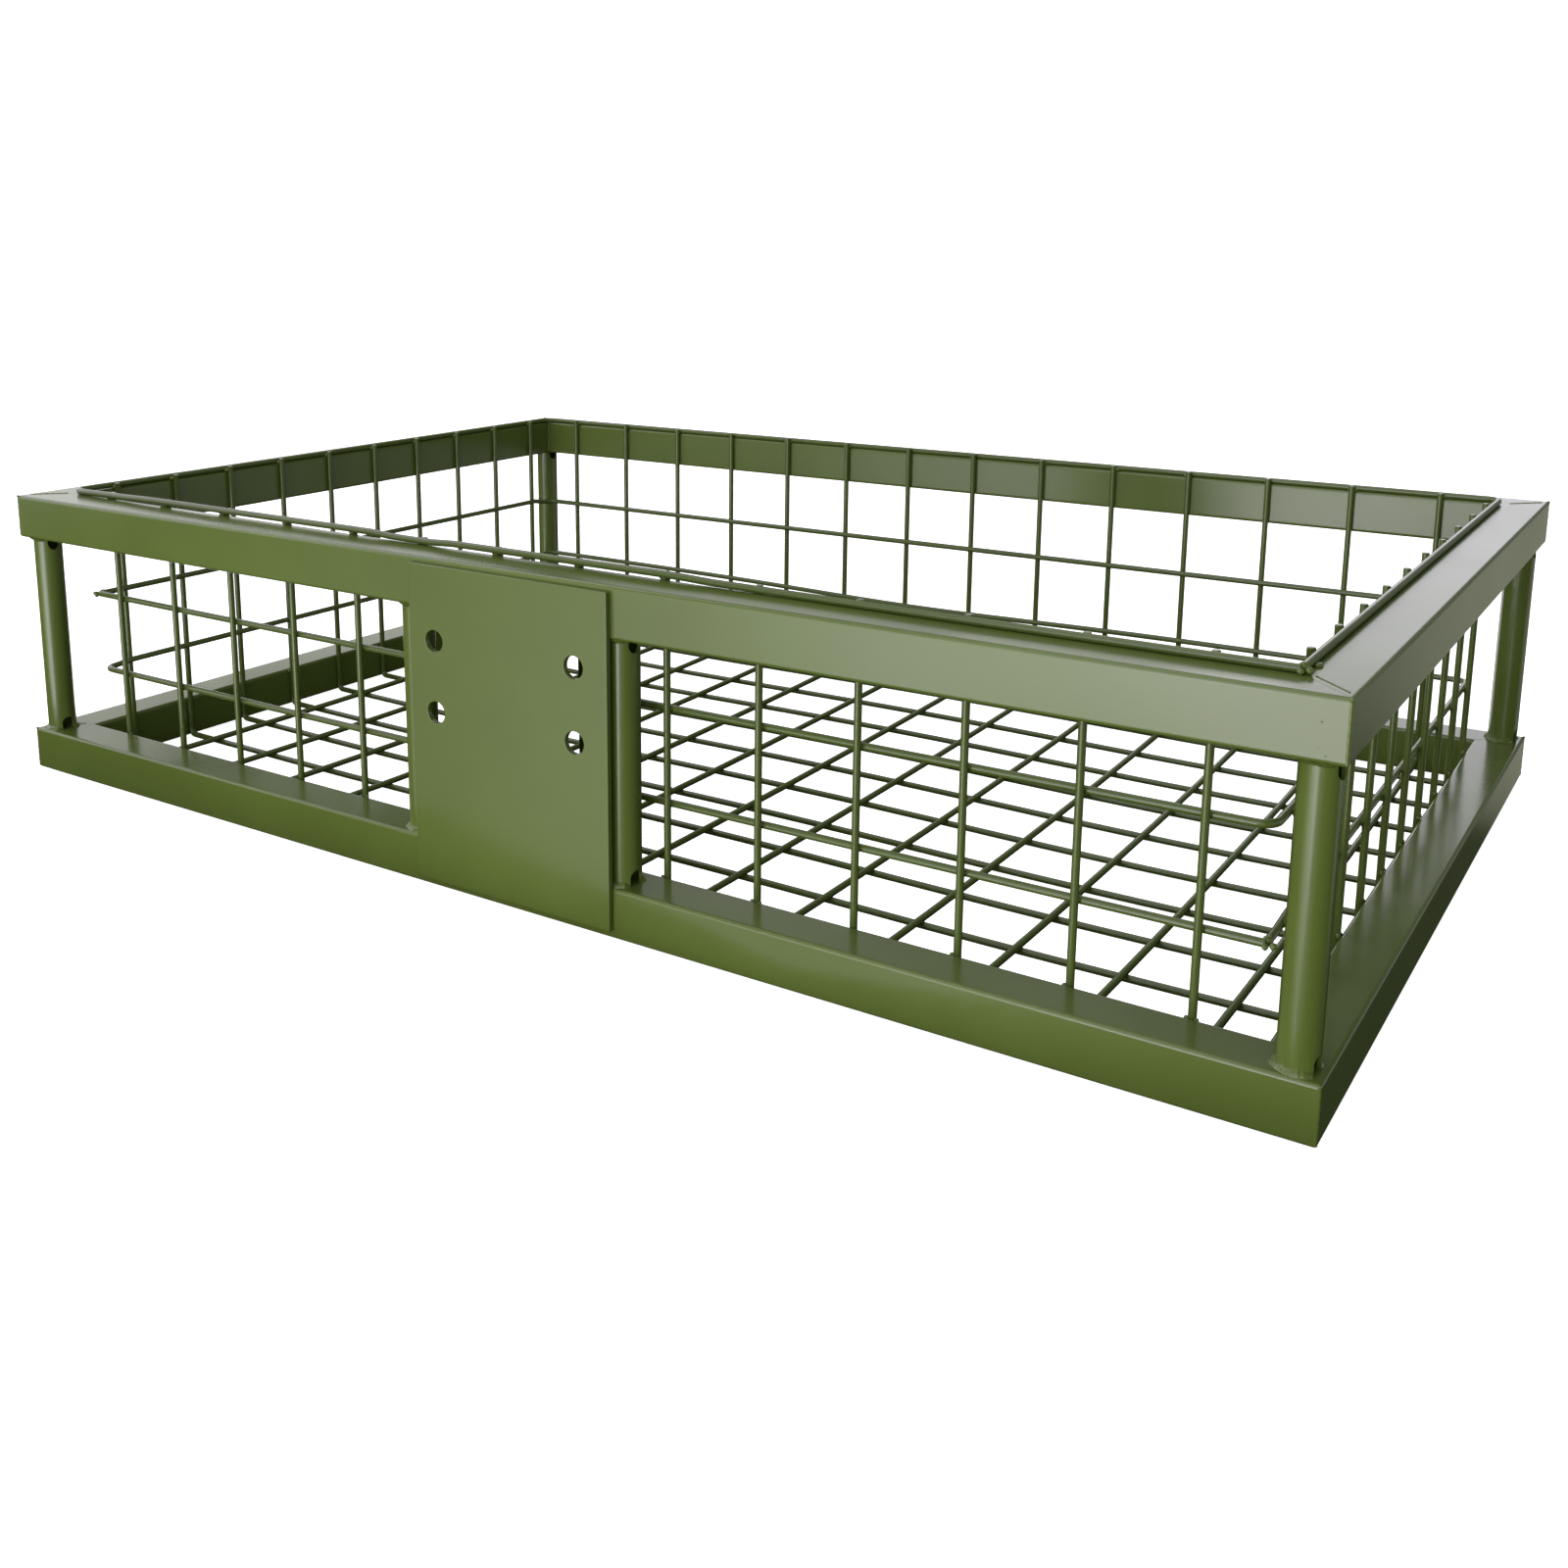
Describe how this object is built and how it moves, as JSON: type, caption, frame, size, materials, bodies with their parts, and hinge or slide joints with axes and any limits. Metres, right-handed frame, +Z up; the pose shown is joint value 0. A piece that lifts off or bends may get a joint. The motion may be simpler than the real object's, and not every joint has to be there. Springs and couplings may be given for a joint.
{
  "type": "cargo basket",
  "caption": "Open-top welded basket with a wire mesh floor and walls between two box-tube frames, bolted on by a flat four-hole plate on its front.",
  "frame": {"origin": "middle of the footprint, plate included, on the underside", "axes": "+X along the long front side, -Y out of the front face that carries the plate, +Z up"},
  "size_m": [0.76, 0.495, 0.1725],
  "materials": {
    "green_powder_coat": "glossy powder coat"
  },
  "bodies": {
    "root": {"lower_rail_front": "green_powder_coat", "lower_rail_rear": "green_powder_coat", "lower_rail_left": "green_powder_coat", "lower_rail_right": "green_powder_coat", "upper_rail_front": "green_powder_coat", "upper_rail_rear": "green_powder_coat", "upper_rail_left": "green_powder_coat", "upper_rail_right": "green_powder_coat", "post_front_left": "green_powder_coat", "post_front_right": "green_powder_coat", "post_rear_left": "green_powder_coat", "post_rear_right": "green_powder_coat", "post_plate_left": "green_powder_coat", "post_plate_right": "green_powder_coat", "mounting_plate": "green_powder_coat", "cross_wire_01": "green_powder_coat", "cross_wire_02": "green_powder_coat", "cross_wire_03": "green_powder_coat", "cross_wire_04": "green_powder_coat", "cross_wire_05": "green_powder_coat", "cross_wire_06": "green_powder_coat", "cross_wire_07": "green_powder_coat", "cross_wire_08": "green_powder_coat", "cross_wire_09": "green_powder_coat", "cross_wire_10": "green_powder_coat", "cross_wire_11": "green_powder_coat", "cross_wire_12": "green_powder_coat", "cross_wire_13": "green_powder_coat", "cross_wire_14": "green_powder_coat", "long_wire_01": "green_powder_coat", "long_wire_02": "green_powder_coat", "long_wire_03": "green_powder_coat", "long_wire_04": "green_powder_coat", "long_wire_05": "green_powder_coat", "long_wire_06": "green_powder_coat", "long_wire_07": "green_powder_coat", "long_wire_08": "green_powder_coat", "long_wire_09": "green_powder_coat", "long_wire_10": "green_powder_coat", "ring_wire_lower": "green_powder_coat", "ring_wire_upper": "green_powder_coat", "rim_wire": "green_powder_coat"}
  },
  "joints": []
}
